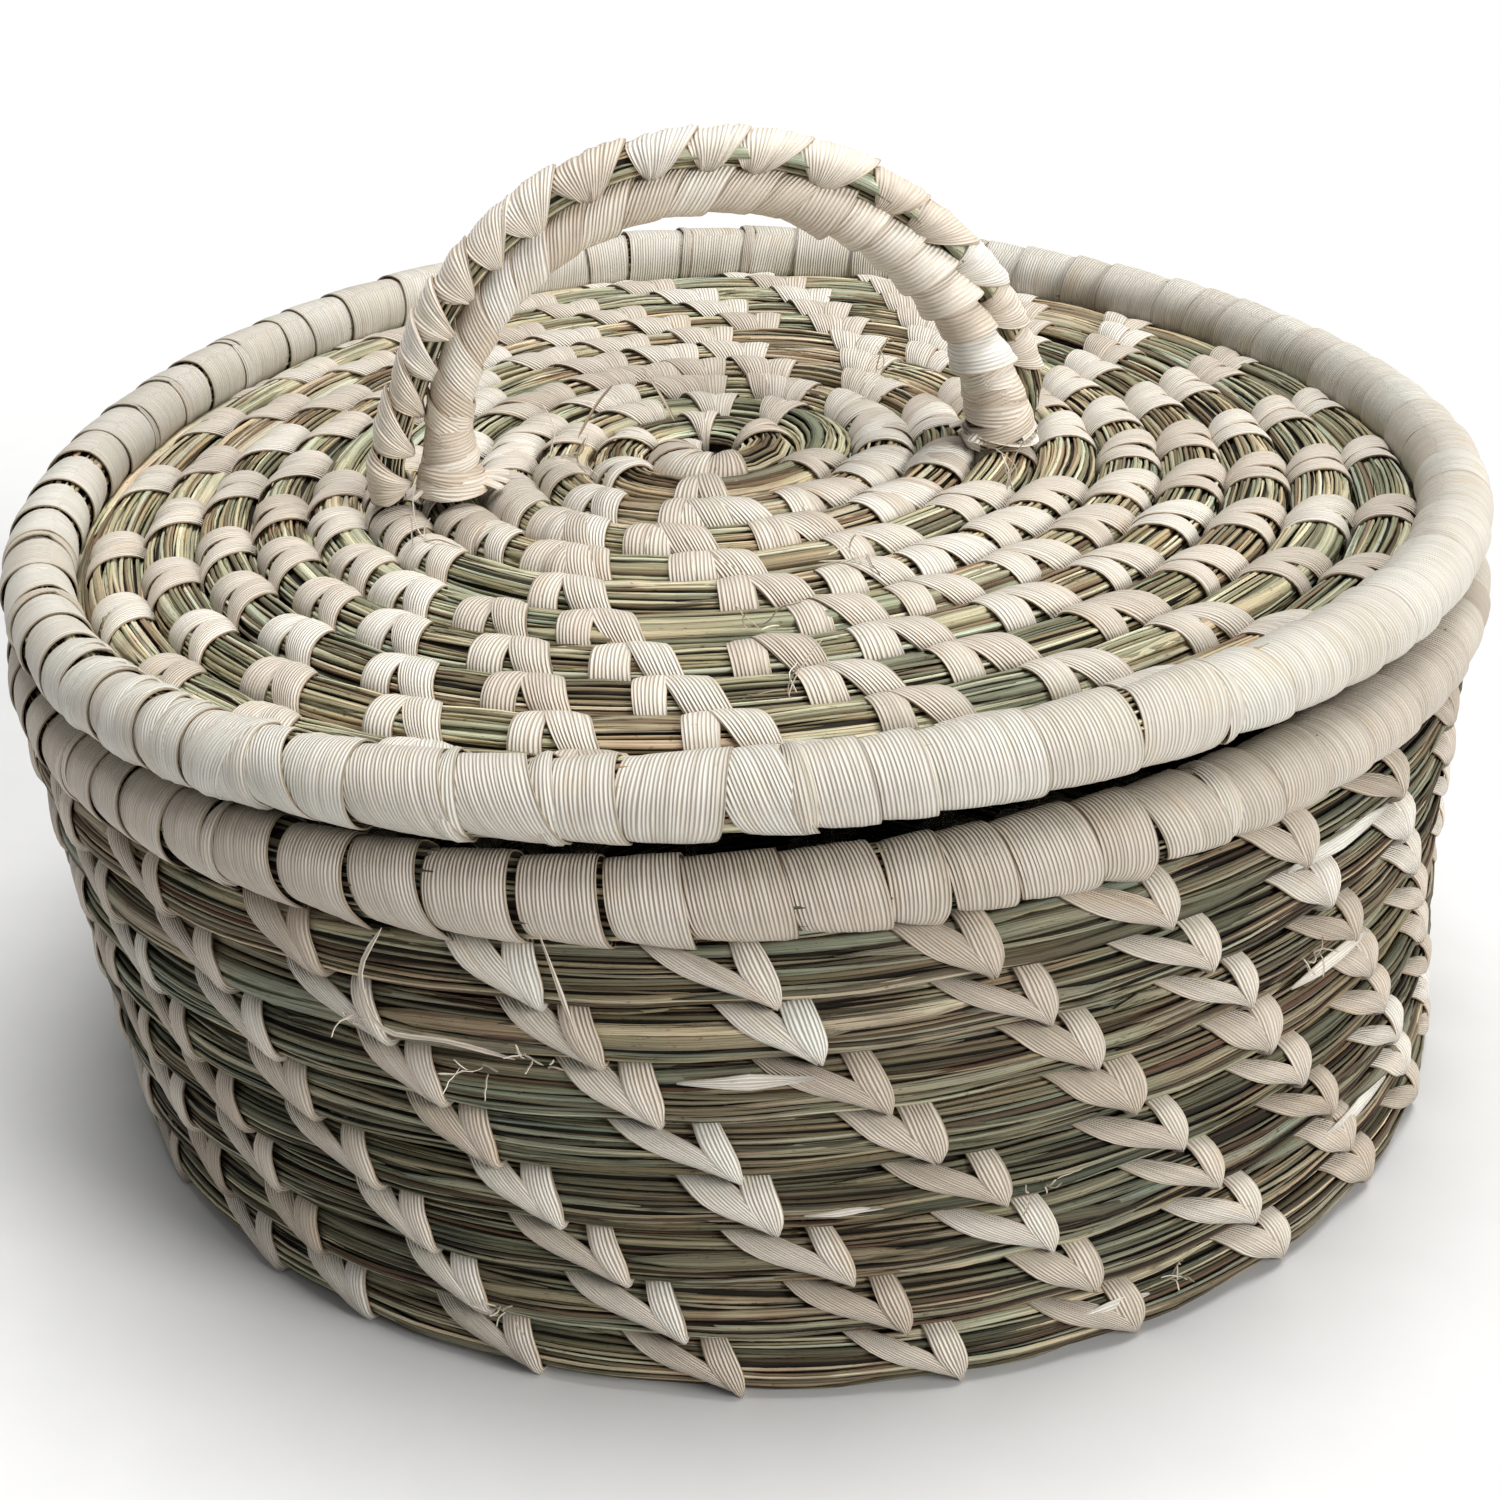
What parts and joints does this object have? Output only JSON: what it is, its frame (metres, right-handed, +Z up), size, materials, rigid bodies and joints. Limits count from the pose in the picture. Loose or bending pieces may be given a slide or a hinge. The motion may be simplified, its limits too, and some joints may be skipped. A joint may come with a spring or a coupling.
{
  "type": "lidded basket",
  "caption": "Round coiled-grass basket sewn with palm leaf, with a loose domed lid that lifts off by an arched double-coil handle.",
  "frame": {"origin": "middle of the basket's rim in plan, on the plane it stands on", "axes": "+Z up along the lid's lifting direction; the handle's arch runs 8 degrees off the X axis; -Y is the side seen in the picture"},
  "size_m": [0.303, 0.303, 0.197],
  "materials": {
    "dry_grass": "matt bundle of dry grass blades, sage green to straw with brown and dark streaks",
    "palm_leaf": "satin cream palm-leaf strips with fine ribs along the strip",
    "rim_leaf": "satin cream palm-leaf strips wound side by side round the rim coils"
  },
  "bodies": {
    "basket": {"base_coil": "dry_grass", "wall_coil": "dry_grass", "body_rim": "rim_leaf", "wall_stitch_01": "palm_leaf", "wall_stitch_02": "palm_leaf", "wall_stitch_03": "palm_leaf", "wall_stitch_04": "palm_leaf", "wall_stitch_05": "palm_leaf", "wall_stitch_06": "palm_leaf", "wall_stitch_07": "palm_leaf", "wall_stitch_08": "palm_leaf", "wall_stitch_09": "palm_leaf", "wall_stitch_10": "palm_leaf", "wall_stitch_11": "palm_leaf", "wall_stitch_12": "palm_leaf", "wall_stitch_13": "palm_leaf", "wall_stitch_14": "palm_leaf", "wall_stitch_15": "palm_leaf", "wall_stitch_16": "palm_leaf", "wall_stitch_17": "palm_leaf", "wall_stitch_18": "palm_leaf", "wall_stitch_19": "palm_leaf", "wall_stitch_20": "palm_leaf", "wall_stitch_21": "palm_leaf", "wall_stitch_22": "palm_leaf", "wall_stitch_23": "palm_leaf", "wall_stitch_24": "palm_leaf", "wall_stitch_25": "palm_leaf", "wall_stitch_26": "palm_leaf"},
    "lid": {"lid_coil": "dry_grass", "lid_rim": "rim_leaf", "handle_inner_coil": "palm_leaf", "handle_outer_coil": "palm_leaf", "handle_lashing_left": "palm_leaf", "handle_lashing_right": "palm_leaf", "lid_stitch_01": "palm_leaf", "lid_stitch_02": "palm_leaf", "lid_stitch_03": "palm_leaf", "lid_stitch_04": "palm_leaf", "lid_stitch_05": "palm_leaf", "lid_stitch_06": "palm_leaf", "lid_stitch_07": "palm_leaf", "lid_stitch_08": "palm_leaf", "lid_stitch_09": "palm_leaf", "lid_stitch_10": "palm_leaf", "lid_stitch_11": "palm_leaf", "lid_stitch_12": "palm_leaf", "lid_stitch_13": "palm_leaf", "lid_stitch_14": "palm_leaf", "lid_stitch_15": "palm_leaf", "lid_stitch_16": "palm_leaf", "lid_stitch_17": "palm_leaf", "lid_stitch_18": "palm_leaf", "lid_stitch_19": "palm_leaf", "lid_stitch_20": "palm_leaf", "lid_stitch_21": "palm_leaf", "lid_stitch_22": "palm_leaf", "lid_stitch_23": "palm_leaf", "lid_stitch_24": "palm_leaf", "lid_stitch_25": "palm_leaf"}
  },
  "joints": [
    {"name": "lid_lift", "type": "slide", "parent": "basket", "child": "lid", "axis": [0, 0, 1], "range_m": [0, 0.12]}
  ]
}
